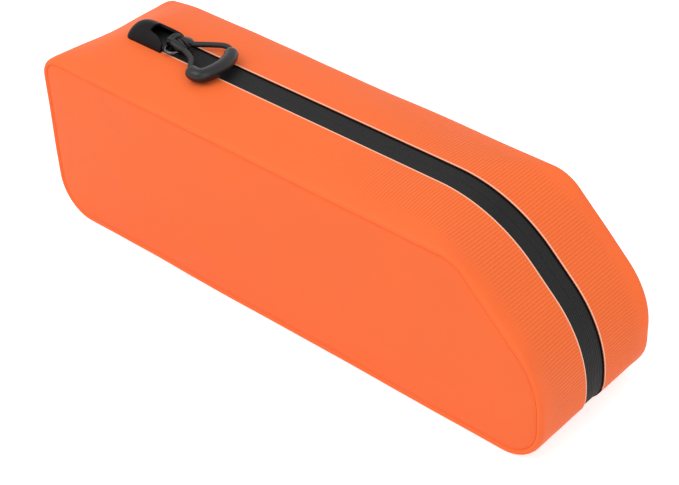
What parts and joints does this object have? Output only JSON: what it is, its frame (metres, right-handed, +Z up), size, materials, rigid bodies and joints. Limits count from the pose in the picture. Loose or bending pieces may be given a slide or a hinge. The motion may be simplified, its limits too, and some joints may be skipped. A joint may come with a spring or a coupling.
{
  "type": "zip pouch",
  "caption": "Box-shaped pouch of coated fabric with a sloping nose, a sealed zip over its top and nose, a hood for the parked slider, and a cord pull with a moulded grip.",
  "frame": {"origin": "middle of the bottom of the pouch", "axes": "+X towards the sloping nose, +Y to the pouch's left, +Z up"},
  "size_m": [0.22, 0.057, 0.0763],
  "materials": {
    "coated_fabric": "satin",
    "seam_tape": "satin",
    "foam_board": "matte",
    "lining_fabric": "matte",
    "zip_tape": "satin",
    "zip_plastic": "matte",
    "hood_plastic": "matte",
    "slider_metal": "satin",
    "bail_wire": "polished",
    "cord": "woven",
    "grip_rubber": "satin"
  },
  "bodies": {
    "bag": {"left_side_panel": "coated_fabric", "right_side_panel": "coated_fabric", "zip_gusset": "coated_fabric", "base_gusset": "coated_fabric", "left_seam_tape": "seam_tape", "right_seam_tape": "seam_tape", "left_side_foam": "foam_board", "right_side_foam": "foam_board", "base_foam": "foam_board", "back_foam": "foam_board", "lining": "lining_fabric", "left_zip_tape": "zip_tape", "right_zip_tape": "zip_tape", "left_zip_coil": "zip_plastic", "right_zip_coil": "zip_plastic", "nose_end_stop": "zip_plastic", "rear_end_stop": "zip_plastic", "zip_garage": "hood_plastic"},
    "slider": {"zip_slider": "slider_metal"},
    "bail": {"slider_bail": "bail_wire", "pull_knot": "cord"},
    "pull": {"pull_cord": "cord", "pull_grip": "grip_rubber"}
  },
  "joints": [
    {"name": "zip_slide", "type": "slide", "parent": "bag", "child": "slider", "axis": [1, 0, 0], "range_m": [0, 0.12], "deforming": ["left_zip_tape", "right_zip_tape", "left_zip_coil", "right_zip_coil"]},
    {"name": "bail_lift", "type": "hinge", "parent": "slider", "child": "bail", "pos_m": [-0.0719, 0, 0.0716], "axis": [0, -1, 0], "range_deg": [0, 90]},
    {"name": "pull_lift", "type": "hinge", "parent": "bail", "child": "pull", "pos_m": [-0.0666, 0, 0.0716], "axis": [0, -1, 0], "range_deg": [0, 60]}
  ]
}
